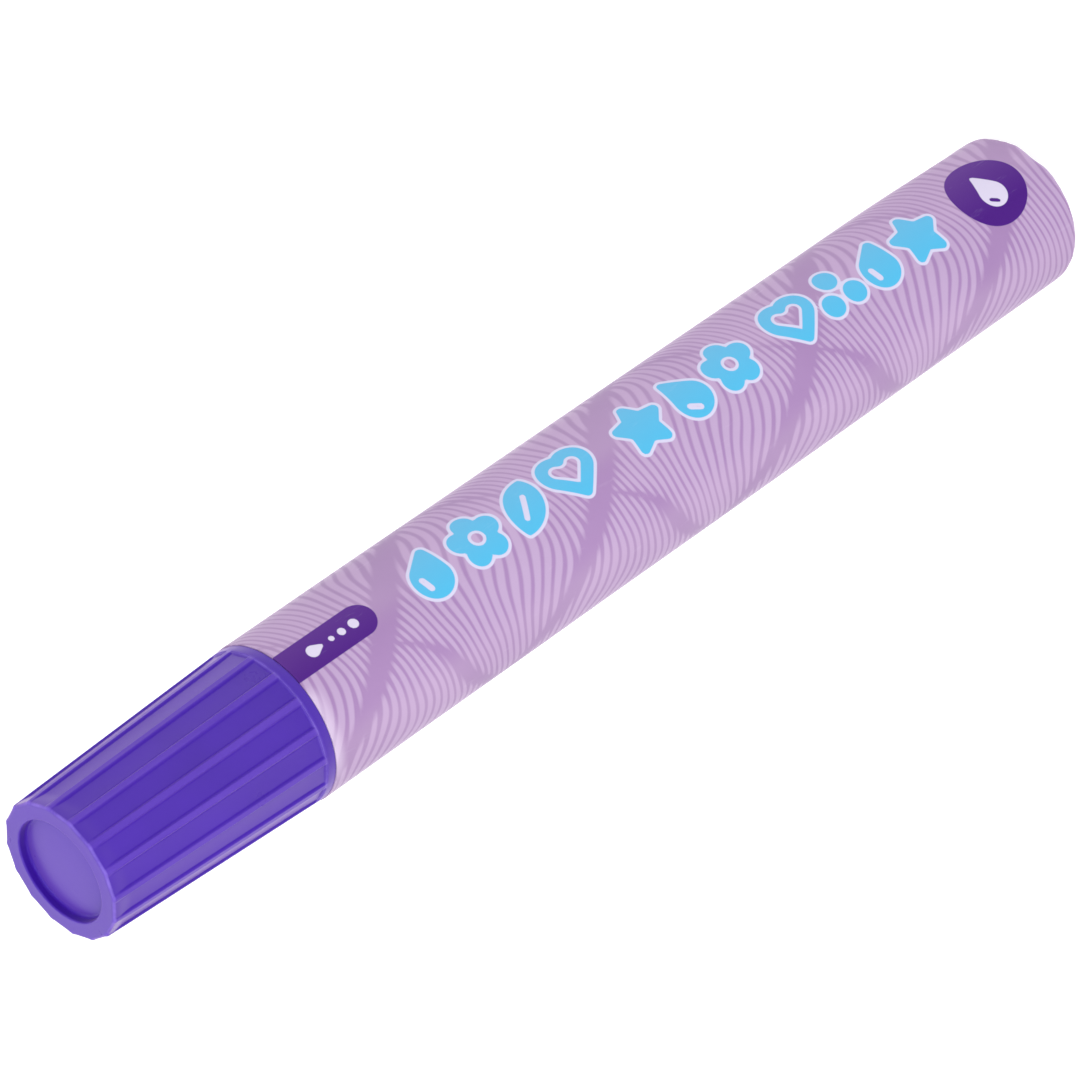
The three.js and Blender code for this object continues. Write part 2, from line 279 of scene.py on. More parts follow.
    # inside: flare at the mouth, bore with four ridges, taper, snap bead, ceiling
    prof = rounded([(10.86, RIM_DROP + 0.03), (10.25, 0.2, 0.1), (9.9, 0.6, 0.3), (9.9, 8.6, 0.4), (9.5, 9.6, 0.4), (8.75, 30.6, 0.6),
                    (8.0, 31.7, 0.25), (8.0, 32.1, 0.15), (8.55, 32.3, 0.1), (8.45, 33.8, 0.2), (8.2, 34.0, 0.15), (0.0, 34.0)], steps=4)
    prof = stepped(prof, lambda z: 0.15 if 1.0 < z < 6.2 else (0.6 if z < 9.5 else 3.0))[1:]
    ins = []
    for r, z in prof:
        rr = np.full(len(angles), r)
        if 0.9 < z < 6.4:
            for k in range(STARTS):
                s = wrap(angles - (20 + 90 * k + 40)) + 40      # degrees into the ridge
                mid = LEAD * 20 / 360 - 1.5 + 0.1 + (148.6 - RIM_Z) + LEAD * s / 360
                ends = smooth(-1, 9, s) * smooth(81, 71, s)
                height = 0.95 * np.clip((0.60 - np.abs(z - mid)) / 0.27, 0, 1) * ends
                soft = height * (1 - 0.12 * np.clip(height / 0.95, 0, 1))
                rr = rr - soft * (9.9 - 8.95) / 0.95 / 0.88 * 0.95
        ins.append(np.stack([rr * np.cos(np.radians(angles)), rr * np.sin(np.radians(angles)), np.full(len(angles), z + RIM_Z)], -1))
    inside = np.array(ins)
    grid = np.concatenate([outer, inside])
    zero = np.zeros(inside.shape[:2])
    return grid_piece("cap_shell_moulded", grid, {
        "rib": np.concatenate([f_rib, zero]),
        "edge": np.concatenate([f_edge, zero]),
        "dull": np.concatenate([f_dull, zero]),
    })


# ---------------------------------------------------------------- shapes of the print, mm

def sd_circle(x, y, cx, cy, r):
    return np.hypot(x - cx, y - cy) - r


def sd_pill(x, y, ax, ay, bx, by, r):
    px, py, dx, dy = x - ax, y - ay, bx - ax, by - ay
    h = np.clip((px * dx + py * dy) / (dx * dx + dy * dy), 0, 1)
    return np.hypot(px - dx * h, py - dy * h) - r


def turn(x, y, degrees):
    c, s = math.cos(math.radians(degrees)), math.sin(math.radians(degrees))
    return c * x + s * y, -s * x + c * y


def sd_drop(x, y, r1, r2, h):
    """A drop: a large circle at the origin and a small one h above it, with the flanks drawn tight."""
    px = np.abs(x)
    b = (r1 - r2) / h
    a = math.sqrt(1 - b * b)
    k = -b * px + a * y
    return np.where(k < 0, np.hypot(px, y) - r1, np.where(k > a * h, np.hypot(px, y - h) - r2, px * a + y * b - r1))


def sd_star(x, y, r, inner):
    k1 = (0.809016994375, -0.587785252292)
    k2 = (-k1[0], k1[1])
    px, py = np.abs(x), y.copy()
    for k in (k1, k2):
        d = 2 * np.maximum(k[0] * px + k[1] * py, 0)
        px, py = px - d * k[0], py - d * k[1]
    px = np.abs(px)
    py = py - r
    bx, by = inner * -k1[1], inner * k1[0] - 1
    h = np.clip((px * bx + py * by) / (bx * bx + by * by), 0, r)
    return np.hypot(px - bx * h, py - by * h) * np.sign(py * bx - px * by)


def sd_heart(x, y):
    px = np.abs(x)
    q = 0.5 * np.maximum(px + y, 0)
    low = np.sqrt(np.minimum(px ** 2 + (y - 1) ** 2, (px - q) ** 2 + (y - q) ** 2)) * np.sign(px - y)
    return np.where(y + px > 1, np.hypot(px - 0.25, y - 0.75) - math.sqrt(2) / 4, low)


def soft_min(a, b, k):
    h = np.clip(0.5 + 0.5 * (b - a) / k, 0, 1)
    return b * (1 - h) + a * h - k * h * (1 - h)


def sd_leaf(x, y, r, d):
    """A pointed oval, upright: two arcs of radius r with their middles d to either side."""
    px, py = np.abs(x), np.abs(y)
    b = math.sqrt(r * r - d * d)
    return np.where((py - b) * d > px * b, np.hypot(px, py - b), np.hypot(px + d, py) - r)


def motif_drop(x, y, lean=-24):
    u, v = turn(x, y, lean)
    d = sd_drop(u, v + 1.05, 2.75, 0.62, 4.1)
    return np.maximum(d, -sd_pill(u, v, -1.35, -1.2, -0.55, -2.35, 0.42))


def motif_drop_back(x, y):
    return motif_drop(x, y, 24)


def motif_flower(x, y):
    d = np.full(x.shape, 99.0)
    for k in range(5):
        a = math.radians(90 + 72 * k)
        d = soft_min(d, sd_circle(x, y, 2.35 * math.cos(a), 2.35 * math.sin(a), 1.55), 0.35)
    return np.maximum(d, 1.12 - np.hypot(x, y))


def motif_star(x, y):
    return sd_star(x, y + 0.15, 3.3, 0.52) - 0.66


def motif_heart(x, y):
    k = 5.3
    d = sd_heart(x / k, (y + 2.85) / k) * k - 0.75
    return np.abs(d + 0.8) - 0.8


def motif_leaf(x, y):
    u, v = turn(x, y, -34)
    d = sd_leaf(u, v, 4.4, 2.2) - 0.35
    return np.maximum(d, -sd_pill(u, v, 0, -1.9, 0, 1.3, 0.36))


def motif_dots(x, y):
    d = sd_circle(x, y, 0.1, 2.0, 1.6)
    for cx, cy, r in ((-1.95, -1.55, 1.6), (2.05, -1.45, 1.6)):
        d = np.minimum(d, sd_circle(x, y, cx, cy, r))
    return d


# Along the bottle (mm from the closed end of the cap) and what stands there, in three groups.
ROW = [
    (62.2, motif_drop), (70.9, motif_flower), (79.7, motif_leaf), (88.4, motif_heart),
    (101.6, motif_star), (110.2, motif_drop_back), (118.9, motif_flower),
    (131.4, motif_heart), (140.0, motif_dots), (148.4, motif_drop), (156.4, motif_star),
]
ROW_PHI = -23.5
ROW_SCALE = 1.09


def print_fields(z, phi):
    """Everything the print needs, for points at height z (mm) and angle phi (degrees from the camera's side; the bottle's upper side in the photo is below 0)."""
    s = (LENGTH - z) / 1.0036                       # mm from the closed end
    w = PRINT_RADIUS * np.radians(phi + 92.0)       # mm round the bottle
    up = -PRINT_RADIUS * np.radians(wrap(phi - ROW_PHI))
    out = {}
    # stripes: an evenly ruled sheet pushed sideways by a slanting wave
    A, T, X = 2.1, TAU * PRINT_RADIUS / 2, 40.0
    c = -TAU * 0.772
    swing = TAU * (s / X - w / T) + c
    wave = s + A * np.sin(swing) + 0.3 * np.sin(TAU * (s / 80.0 + w / T) + 1.0)
    # drawn by hand: the lines waver a little
    wave = wave + 0.07 * np.sin(TAU * (s / 11.7 + w / 9.03)) + 0.06 * np.sin(TAU * (s / 7.1 - w / 12.04) + 2.0)
    out["wave"] = wave / 1.40
    out["width"] = np.sin(TAU * (s / 23.0 + 2 * w / T) + 0.7) * 0.5 + np.sin(TAU * (s / 9.7 - w / T)) * 0.5
    # solid bands that lean both ways; the light stripes run out to points as they reach them
    lean = X / T
    across = math.cos(math.atan(lean))

    def near(v, c0):
        return np.abs((v - c0 + X / 2) % X - X / 2) * across

    bend1 = 0.9 * np.sin(TAU * w / T + 0.6)
    knots = np.array([0.0, 4.0, 9.4, 16.0, 22.5, 28.5, 30.5, 33.0])
    bends = np.array([0.3, 0.4, 1.1, -1.2, -3.6, -0.5, 0.6, 0.4])
    bend2 = sum(np.interp(w + k, knots, bends, period=T) for k in (-1.6, -0.8, 0.0, 0.8, 1.6)) / 5
    d1 = near(s + lean * w + bend1, 29.4)
    d2 = near(s - lean * w + bend2, 28.2) + 4.0 * smooth(160.0, 167.0, s)
    h1 = 0.95 + 0.30 * np.cos(TAU * (w - 15) / T)
    h2 = 0.18 + 0.42 * np.cos(TAU * (w - 31) / T)
    out["share"] = np.minimum(np.clip((d1 - h1) / 2.6, 0, 1) ** 0.7, np.clip((d2 - h2) / 2.0, 0, 1) ** 0.6)
    # sky-blue motifs
    d = np.full(s.shape, 9.0)
    for x0, shape in ROW:
        d = np.minimum(d, shape((s - x0) / ROW_SCALE, up / ROW_SCALE) * ROW_SCALE)
    out["motif"] = np.clip(d, -3, 3)
    out["motif_up"] = np.clip(up, -12, 12)
    # dark tab under the cap's rim, and the round badge near the base
    tab = sd_pill(s, up, 20.0, 0.0, 49.4, 0.0, 2.5)
    bs, bu = s - 170.8, -PRINT_RADIUS * np.radians(wrap(phi + 22.0))
    badge = np.hypot(bs / 1.03, bu) - 5.85
    out["dark"] = np.clip(np.minimum(tab, badge), -3, 3)
    # pale marks on them: a drop and three dots; a drop with a light spot
    t1, t2 = turn(s - 41.6, up, -90)
    marks = sd_drop(t1, t2 + 0.25, 0.92, 0.22, 1.5)
    for x0, r in ((44.6, 0.42), (46.4, 0.58), (48.5, 0.74)):
        marks = np.minimum(marks, sd_circle(s, up, x0, 0, r))
    b1, b2 = turn(bs, bu, 8)
    drop = sd_drop(b1, b2 + 1.05, 2.15, 0.35, 3.6)
    drop = np.maximum(drop, -sd_pill(b1, b2, -1.15, -1.5, -0.35, -2.25, 0.3))
    marks = np.minimum(marks, drop)
    out["mark"] = np.clip(marks, -3, 3)
    # painted sheen: the print is paler towards both sides, away from the middle of the front, as a slanting reflection
    # would make it
    out["side"] = smooth(-8, -28, phi) + smooth(22, 44, phi)
    # painted highlight: the film is paler just under the cap's rim on one side
    out["rim_highlight"] = smooth(143.2, 145.2, z) * smooth(-9, 4, phi) * smooth(80, 45, phi)
    return out


# ---------------------------------------------------------------- printed film

def dents(z, phi):
    """Two shallow dents in the heel and a long flat one above it, in the bottle and in the film on it, mm."""
    total = 0.0
    for depth, z0, dz, phi0, dphi in ((0.57, 0.0, 1.6, -24.2, 10.2), (0.42, 1.8, 4.4, -55.3, 22.0), (0.35, 4.0, 12.0, -89.1, 12.8)):
        total = total + depth * np.exp(-((z - z0) / dz) ** 2) * np.exp(-(wrap(phi - phi0) / dphi) ** 2)
    return total


def film_mesh():
    fine = np.arange(-54.0, 9.0, 1.5)
    coarse = np.linspace(9.0, 306.0, 84)[:-1]
    phi = wrap(np.concatenate([fine, coarse]))
    theta = VIEW_TURN - phi
    m = len(phi)
    rad = np.radians(theta)
    rng = np.random.default_rng(7)

    # heel, wall and top edge, outside
    lower = arc(9.53, 1.8, 1.97, -52, -4, 9)
    zs = list(np.arange(1.8, 4.2, 0.45)) + list(np.linspace(4.2, 145.05, 400))
    outer = [(r, z) for r, z in lower] + [(11.5, z) for z in zs] + [(11.5, 145.26), (11.495, 145.36), (11.475, 145.41), (11.43, 145.425)]
    inner = [(11.32, 145.425), (11.22, 145.42), (11.19, 145.36), (11.235, 145.26), (11.30, 145.12), (11.36, 144.92)] + [(11.38, z) for z in list(np.linspace(144.5, 36.0, 20)) + list(np.linspace(34.5, 1.8, 24))] + arc(9.53, 1.8, 1.85, -4, -52, 8)
    prof = np.array(outer + inner)
    n_out = len(outer)
    r = np.repeat(prof[:, 0][:, None], m, 1)
    z = np.repeat(prof[:, 1][:, None], m, 1)
    outside = np.zeros(len(prof), bool)
    outside[:n_out + 3] = True

    # shrink film follows the bottle, so it only ever lies a little under its full radius
    a = np.radians(phi)[None, :]
    dip = np.zeros_like(r)
    for k in range(9):
        fz, fa = rng.uniform(0.03, 0.16), rng.integers(1, 4)
        dip += 0.0045 * (1 + np.sin(fz * z * 1.3 + fa * a + rng.uniform(0, 6)))
    # puckers round the heel, where the film has shrunk most
    pucker = np.exp(-((z - 0.9) / 1.1) ** 2) * (0.5 + 0.5 * np.sin(31 * a + 1.7 * np.sin(7 * a))) * 0.055
    pucker += np.exp(-((z - 3.0) / 1.6) ** 2) * (0.5 + 0.5 * np.sin(13 * a + 2)) * 0.02
    dent = dents(z, phi[None, :])
    # seam on the back: the outer end of the film lies on the inner one
    back = wrap(phi - 156.5)[None, :]
    seam = 0.05 * smooth(-2.6, 2.2, back) * smooth(40, 10, back) * (z > 2)
    drop_all = dip + pucker + dent + seam
    r = r - np.where(outside[:, None], drop_all, drop_all * 0.9)
    # the cut edge under the heel isn't quite level
    low = np.exp(-((z - 0.25) / 0.35) ** 2)
    z = z + low * 0.07 * (1 + np.sin(3 * a + 1) * 0.6 + np.sin(11 * a) * 0.3)
    grid = np.stack([r * np.cos(rad), r * np.sin(rad), z], -1)
    fields = print_fields(z, np.repeat(phi[None, :], len(prof), 0))
    fields["outside"] = np.repeat(outside[:, None].astype(float), m, 1)
    fields["seam"] = np.repeat(np.exp(-(back / 3.0) ** 2), len(prof), 0)
    piece = grid_piece("film_printed", grid, fields, closed_rows=True)
    # the print laid out flat, unrolled from the back: the outside on most of the map, the inside in a strip above it
    n = len(prof)
    steps = np.hypot(np.diff(prof[:, 0]), np.diff(prof[:, 1]))
    along = np.concatenate([[0.0], np.cumsum(steps)])
    v = np.where(np.arange(n) < n_out, 0.004 + 0.93 * along / along[n_out - 1], 0.945 + 0.05 * (along - along[n_out]) / (along[-1] - along[n_out]))
    v = np.append(v, 0.998)
    round_it = np.concatenate([[0.0], np.cumsum(np.abs(wrap(np.diff(np.append(phi, phi[0])))))]) / 360.0
    layer = piece.data.uv_layers.new(name="OFBake")
    corners = np.empty(len(piece.data.loops), int)
    piece.data.loops.foreach_get("vertex_index", corners)
    corners = corners.reshape(-1, 4)
    row, column = corners // m, corners % m
    last = (column.max(1) == m - 1) & (column.min(1) == 0)
    column = np.where(last[:, None] & (column == 0), m, column)
    closing = (row.max(1) == n - 1) & (row.min(1) == 0)
    row = np.where(closing[:, None] & (row == 0), n, row)
    uv = np.stack([0.004 + 0.992 * round_it[column], v[row]], -1)
    layer.data.foreach_set("uv", uv.reshape(-1).astype(np.float32))
    return piece


# ---------------------------------------------------------------- bottle, glue, plug, tip, collar, liner

def bottle_mesh():
    prof = [(0.0, 1.3), (5.2, 1.3), (7.2, 0.45, 0.8), (8.0, 0.0, 0.3)]
    prof = rounded(prof + [(9.53, 0.0)], steps=5)
    prof += arc(9.53, 1.8, 1.8, -90, 0, 12)[1:]
    prof += [(11.33, 144.9)] + arc(10.83, 144.9, 0.5, 0, 90, 5)[1:]
    prof += rounded([(10.83, 145.4), (8.6, 145.4, 0.35), (8.6, 158.1), (8.6, 158.5, 0.35), (7.2, 158.5, 0.2), (7.2, 145.2, 0.6), (9.2, 144.3, 0.5),
                     (10.63, 142.8, 0.8), (10.63, 2.7, 0.8), (10.0, 1.5, 0.5), (8.4, 0.95, 0.4), (7.7, 1.1, 0.4), (5.5, 2.2, 0.6), (0.0, 2.2)], steps=4)[1:]
    prof = stepped(prof, lambda z: 0.17 if 146.2 < z < 151.4 else (0.8 if z > 144 or z < 3 else (1.6 if z < 36 else 4.0)))
    angles = even(264)
    heel_end = next(i for i, (r, z) in enumerate(prof) if z > 2.5)
    rows = []
    for i, (r, z) in enumerate(prof):
        rr = np.full(len(angles), float(r))
        if (z < 36 and r > 11.0) or (z < 8 and r > 8.6 and i < heel_end):
            rr = rr - dents(z, VIEW_TURN - angles)
        if 145.9 < z < 151.6 and 8.5 < r < 8.7:
            for k in range(STARTS):
                s = wrap(angles - 90 * k)
                mid = 148.6 + LEAD * s / 360
                ends = smooth(-65, -56, s) * smooth(65, 56, s)
                height = np.clip((0.62 - np.abs(z - mid)) / 0.3, 0, 1) ** 0.9 * ends
                rr = rr + 0.9 * height
        if z < 1.35 and r < 8.2:      # a faint parting line and ring in the push-up
            zz = z + 0.05 * math.exp(-((r - 4.1) / 0.25) ** 2)
        else:
            zz = z
        zrow = np.full(len(angles), float(zz))
        if zz < 1.4 and r < 7.0 and i < 12:
            zrow = zrow - 0.06 * np.exp(-((np.sin(np.radians(angles)) * r) / 0.18) ** 2)
        rows.append(np.stack([rr * np.cos(np.radians(angles)), rr * np.sin(np.radians(angles)), zrow], -1))
    return grid_piece("bottle_blown", np.array(rows))


def glue_mesh():
    prof = rounded([(0.0, 2.3), (5.6, 2.3, 0.6), (7.8, 1.25, 0.5), (8.6, 1.1, 0.3), (9.9, 1.6, 0.5), (10.52, 2.9, 0.7), (10.52, 141.0)], steps=4)
    prof += [(10.5, 140.98), (10.35, 140.72), (10.05, 140.5), (9.5, 140.36), (8.0, 140.28), (5.0, 140.25), (2.0, 140.25), (0.0, 140.25)]
    prof = stepped(prof, lambda z: 6.0 if 4 < z < 139 else 0.9)
    angles = even(120)
    grid = turned(prof, angles)
    return grid_piece("glue_liquid", grid)


def plug_mesh():
    # a cup with a sieve floor; two sealing beads on the skirt, which the neck's bore squeezes
    prof = rounded([(0.0, 149.6), (6.4, 149.6, 0.15), (7.08, 150.6, 0.3), (7.08, 152.5), (7.12, 152.65), (7.16, 152.9), (7.16, 153.1), (7.12, 153.35), (7.08, 153.5),
                    (7.08, 155.5), (7.12, 155.65), (7.16, 155.9), (7.16, 156.1), (7.12, 156.35), (7.08, 156.5), (7.08, 158.8, 0.08), (8.2, 158.8, 0.12), (8.2, 160.0, 0.12), (6.9, 160.0, 0.15), (6.9, 166.0, 0.15),
                    (5.2, 166.0, 0.25), (5.2, 160.4, 0.3), (6.0, 159.2, 0.3), (6.0, 150.9, 0.5), (0.0, 150.9)], steps=4)
    prof = stepped(prof, 1.1)
    angles = even(144)
    piece = grid_piece("plug_metering", turned(prof, angles))
    cutters = []
    holes = [(0.0, 0.0, 1.3)] + [(3.7 * math.cos(math.radians(30 + 60 * k)), 3.7 * math.sin(math.radians(30 + 60 * k)), 0.85) for k in range(6)]
    bm = bmesh.new()
    for x, y, radius in holes:
        made = bmesh.ops.create_cone(bm, cap_ends=True, segments=40, radius1=radius, radius2=radius, depth=4.0)
        bmesh.ops.translate(bm, vec=(x, y, 150.2), verts=made["verts"])
    bmesh.ops.scale(bm, vec=(MM, MM, MM), verts=bm.verts)
    mesh = bpy.data.meshes.new("hole_cutters")
    bm.to_mesh(mesh)
    bm.free()
    cutter = bpy.data.objects.new("hole_cutters", mesh)
    SCENE.collection.objects.link(cutter)
    cut = piece.modifiers.new("holes", "BOOLEAN")
    cut.operation, cut.solver, cut.object = "DIFFERENCE", "EXACT", cutter
    bpy.context.view_layer.update()
    final = bpy.data.meshes.new_from_object(piece.evaluated_get(bpy.context.evaluated_depsgraph_get()))
    piece.modifiers.clear()
    old = piece.data
    piece.data = final
    final.name = "plug_metering"
    bpy.data.meshes.remove(old)
    bpy.data.objects.remove(cutter)
    bpy.data.meshes.remove(mesh)
    return piece


def collar_mesh():
    prof = rounded([(7.15, 160.3, 0.1), (8.2, 160.3, 0.15), (8.2, 162.1, 0.2), (7.9, 162.4, 0.3), (7.55, 167.4, 0.6), (7.0, 169.2, 0.6), (6.4, 169.9, 0.3), (5.5, 169.9, 0.15),
                    (5.2, 169.6, 0.15), (5.2, 167.9, 0.12), (7.15, 167.9, 0.25)], closed=True, steps=4)
    prof = stepped(prof, 0.6, closed=True)
    angles = even(192)
    p = np.array(prof)
    a = np.radians(angles)
    r = np.repeat(p[:, 0][:, None], len(angles), 1)
    z = np.repeat(p[:, 1][:, None], len(angles), 1)
    # fine grip ribs pressed into the lower band, only on its outer face
    face = ((r > 8.05) & (z > 160.4) & (z < 162.1)).astype(float)
    r = r - face * 0.07 * (0.5 + 0.5 * np.sign(np.sin(48 * a))[None, :])
    grid = np.stack([r * np.cos(a), r * np.sin(a), z], -1)
    return grid_piece("collar_clamping", grid, closed_rows=True)


def tip_mesh():
    """The slit dome. The first and last rings are the slit's edges, long along X, and the rings between them open out to circles."""
    out = rounded([(2.2, 177.5), (3.8, 176.7, 1.2), (4.95, 175.5, 1.2), (5.7, 173.9, 1.5), (5.95, 172.2, 1.2), (5.75, 170.9, 0.8), (4.95, 170.2, 0.3), (4.95, 167.6, 0.15), (6.8, 167.6, 0.2), (6.8, 166.3, 0.15),
                   (4.0, 166.3, 0.3), (4.0, 170.4, 0.6), (4.3, 172.0, 1.0), (4.1, 173.6, 1.0), (3.3, 175.1, 0.8), (2.0, 176.1)], steps=4)
    out = stepped(out, 0.45)
    top = np.array([(0.0, 177.8), (1.1, 177.74), (2.2, 177.5), (3.0, 177.14), (3.8, 176.7)])
    under = np.array([(0.0, 176.5), (1.0, 176.42), (2.0, 176.1), (2.7, 175.65), (3.3, 175.1)])

    def top_z(r):
        return np.interp(r, top[:, 0], top[:, 1])

    def under_z(r):
        return np.interp(r, under[:, 0], under[:, 1])

    angles = even(180)
    t = np.radians(angles)
    start = next(i for i, p in enumerate(out) if p[0] >= 3.75)
    stop = max(i for i, p in enumerate(out) if p[0] >= 3.25 and p[1] > 174)
    middle = out[start:stop + 1]
    rows = []
    half_l, half_w = 3.1, 0.17
    r_top, r_under = middle[0][0], middle[-1][0]
    steps = [0.0, 0.02, 0.06, 0.12, 0.2, 0.3, 0.42, 0.55, 0.7, 0.85]
    for q in steps:
        ax = half_l + (r_top - half_l) * q ** 1.1
        ay = half_w + (r_top - half_w) * q ** 0.95
        x, y = ax * np.cos(t), ay * np.sin(t)
        lip = -0.07 * math.exp(-(q / 0.03) ** 2)
        rows.append(np.stack([x, y, top_z(np.hypot(x, y)) + lip], -1))
    for r, z in middle:
        rows.append(np.stack([r * np.cos(t), r * np.sin(t), np.full(len(t), z)], -1))
    for q in steps[::-1]:
        ax = half_l - 0.1 + (r_under - half_l + 0.1) * q ** 1.1
        ay = half_w - 0.03 + (r_under - half_w + 0.03) * q ** 0.95
        x, y = ax * np.cos(t), ay * np.sin(t)
        rows.append(np.stack([x, y, under_z(np.hypot(x, y))], -1))
    return grid_piece("tip_slit_rubber", np.array(rows), closed_rows=True)


def liner_mesh():
    prof = rounded([(0.0, 178.27), (2.9, 178.26), (3.4, 178.25), (8.0, 178.25, 0.06), (8.15, 178.4, 0.08), (8.15, 179.15, 0.08), (8.0, 179.3, 0.06), (0.0, 179.3)], steps=3)
    prof = stepped(prof, 0.55)
    angles = even(144)
    grid = turned(prof, angles)
    r = np.hypot(grid[..., 0], grid[..., 1])
    lower = grid[..., 2] < 178.35
    # the mark that the tip has pressed into the foam
    grid[..., 2] += np.where(lower, 0.10 * np.exp(-((r - 2.2) / 1.1) ** 2), 0)
    return grid_piece("liner_foam", grid)


# ---------------------------------------------------------------- materials

class Look:
    """A material with short names for the nodes it needs."""

    def __init__(self, name):
        self.m = bpy.data.materials.new(name)
        self.m.use_nodes = True
        self.t = self.m.node_tree
        self.s = self.t.nodes["Principled BSDF"]

    def node(self, kind, **settings):
        n = self.t.nodes.new(kind)
        for k, v in settings.items():
            setattr(n, k, v)
        return n

    def link(self, a, b):
        self.t.links.new(a, b)

    def put(self, socket, value):
        if isinstance(value, bpy.types.NodeSocket):
            self.link(value, socket)
        elif value is not None:
            socket.default_value = value

    def where(self):
        if not hasattr(self, "_where"):
            self._where = self.node("ShaderNodeTexCoord").outputs["Object"]
        return self._where

    def scaled(self, x, y, z):
        n = self.node("ShaderNodeMapping")
        self.link(self.where(), n.inputs["Vector"])
        n.inputs["Scale"].default_value = (x, y, z)
        return n.outputs["Vector"]

    def noise(self, scale, detail=3.0, rough=0.5, at=None, distortion=0.0):
        n = self.node("ShaderNodeTexNoise")
        self.link(at or self.where(), n.inputs["Vector"])
        n.inputs["Scale"].default_value = scale
        n.inputs["Detail"].default_value = detail
        n.inputs["Roughness"].default_value = rough
        n.inputs["Distortion"].default_value = distortion
        return n.outputs["Fac"]

    def cells(self, scale, at=None, feature="F1", randomness=1.0):
        n = self.node("ShaderNodeTexVoronoi", feature=feature)
        self.link(at or self.where(), n.inputs["Vector"])
        n.inputs["Scale"].default_value = scale
        n.inputs["Randomness"].default_value = randomness
        return n.outputs["Distance"]

    def attr(self, name):
        return self.node("ShaderNodeAttribute", attribute_name=name).outputs["Fac"]

    def math(self, op, a, b=None, clamp=False):
        n = self.node("ShaderNodeMath", operation=op, use_clamp=clamp)
        self.put(n.inputs[0], a)
        if b is not None:
            self.put(n.inputs[1], b)
        return n.outputs[0]

    def span(self, value, a, b, c=0.0, d=1.0, ease=False):
        """value's range a..b mapped to c..d, held at the ends."""
        n = self.node("ShaderNodeMapRange", interpolation_type="SMOOTHSTEP" if ease else "LINEAR")
        self.put(n.inputs["Value"], value)
        n.inputs["From Min"].default_value = a
        n.inputs["From Max"].default_value = b
        n.inputs["To Min"].default_value = c
        n.inputs["To Max"].default_value = d
        return n.outputs["Result"]

    def mix(self, factor, a, b, blend="MIX"):
        n = self.node("ShaderNodeMix", data_type="RGBA", blend_type=blend)
        self.put(n.inputs[0], factor)
        self.put(n.inputs[6], a)
        self.put(n.inputs[7], b)
        return n.outputs[2]

    def bump(self, height, strength, distance, before=None):
        n = self.node("ShaderNodeBump")
        self.put(n.inputs["Height"], height)
        n.inputs["Strength"].default_value = strength
        n.inputs["Distance"].default_value = distance
        if before is not None:
            self.link(before, n.inputs["Normal"])
        return n.outputs["Normal"]

    def set(self, **values):
        names = {"colour": "Base Color", "rough": "Roughness", "normal": "Normal", "ior": "IOR", "coat": "Coat Weight", "coat_rough": "Coat Roughness",
                 "subsurface": "Subsurface Weight", "scatter": "Subsurface Radius", "scatter_scale": "Subsurface Scale", "shine": "Specular IOR Level", "sheen": "Sheen Weight", "sheen_rough": "Sheen Roughness",
                 "sheen_tint": "Sheen Tint", "glow": "Emission Strength", "glow_colour": "Emission Color"}
        for k, v in values.items():
            self.put(self.s.inputs[names[k]], v)
        return self.m


def cap_look():
    k = Look("violet_moulded_plastic")
    cloud = k.noise(90, 2.0)
    fine = k.noise(1400, 3.0)
    flow = k.noise(1.0, 3.0, at=k.scaled(700, 700, 60))
    colour = k.mix(k.span(cloud, 0.3, 0.7), (0.031, 0.0012, 0.288, 1), (0.037, 0.0024, 0.324, 1))
    rib = k.attr("rib")
    # painted highlight: the rib crests are painted a lighter violet, as the rounded ribs would catch the light
    colour = k.mix(k.math("MULTIPLY", rib, k.span(flow, 0.3, 0.7, 0.6, 0.9)), colour, (0.090, 0.038, 0.398, 1))
    # painted highlight along the rounded edges, ledges and the recess mouth: the colour is paler in spots there; the
    # gloss is also rubbed rougher
    edge_highlight_and_wear = k.math("MULTIPLY", k.attr("edge"), k.span(k.noise(420, 3.0, 0.6), 0.35, 0.65, 0.45, 1.0))
    colour = k.mix(k.math("MULTIPLY", edge_highlight_and_wear, 0.6), colour, (0.28, 0.19, 0.70, 1))
    rough = k.math("ADD", k.span(cloud, 0.3, 0.7, 0.27, 0.36), k.math("MULTIPLY", k.span(fine, 0.45, 0.8), 0.04))
    rough = k.math("ADD", rough, k.math("MULTIPLY", edge_highlight_and_wear, 0.12))
    normal = k.bump(flow, 0.15, 0.00003)
    normal = k.bump(fine, 0.025, 0.00002, normal)
    normal = k.bump(k.noise(160, 1.0), 0.25, 0.00009, normal)
    gloss = k.math("MULTIPLY", k.math("SUBTRACT", 1.0, k.attr("dull")), k.math("SUBTRACT", 1.0, k.math("MULTIPLY", rib, 0.38)))
    return k.set(colour=colour, rough=rough, normal=normal, ior=1.5, shine=k.math("MULTIPLY", gloss, 0.18), sheen=k.math("MULTIPLY", gloss, 0.27), sheen_rough=0.62, sheen_tint=(1.0, 0.64, 0.97, 1))


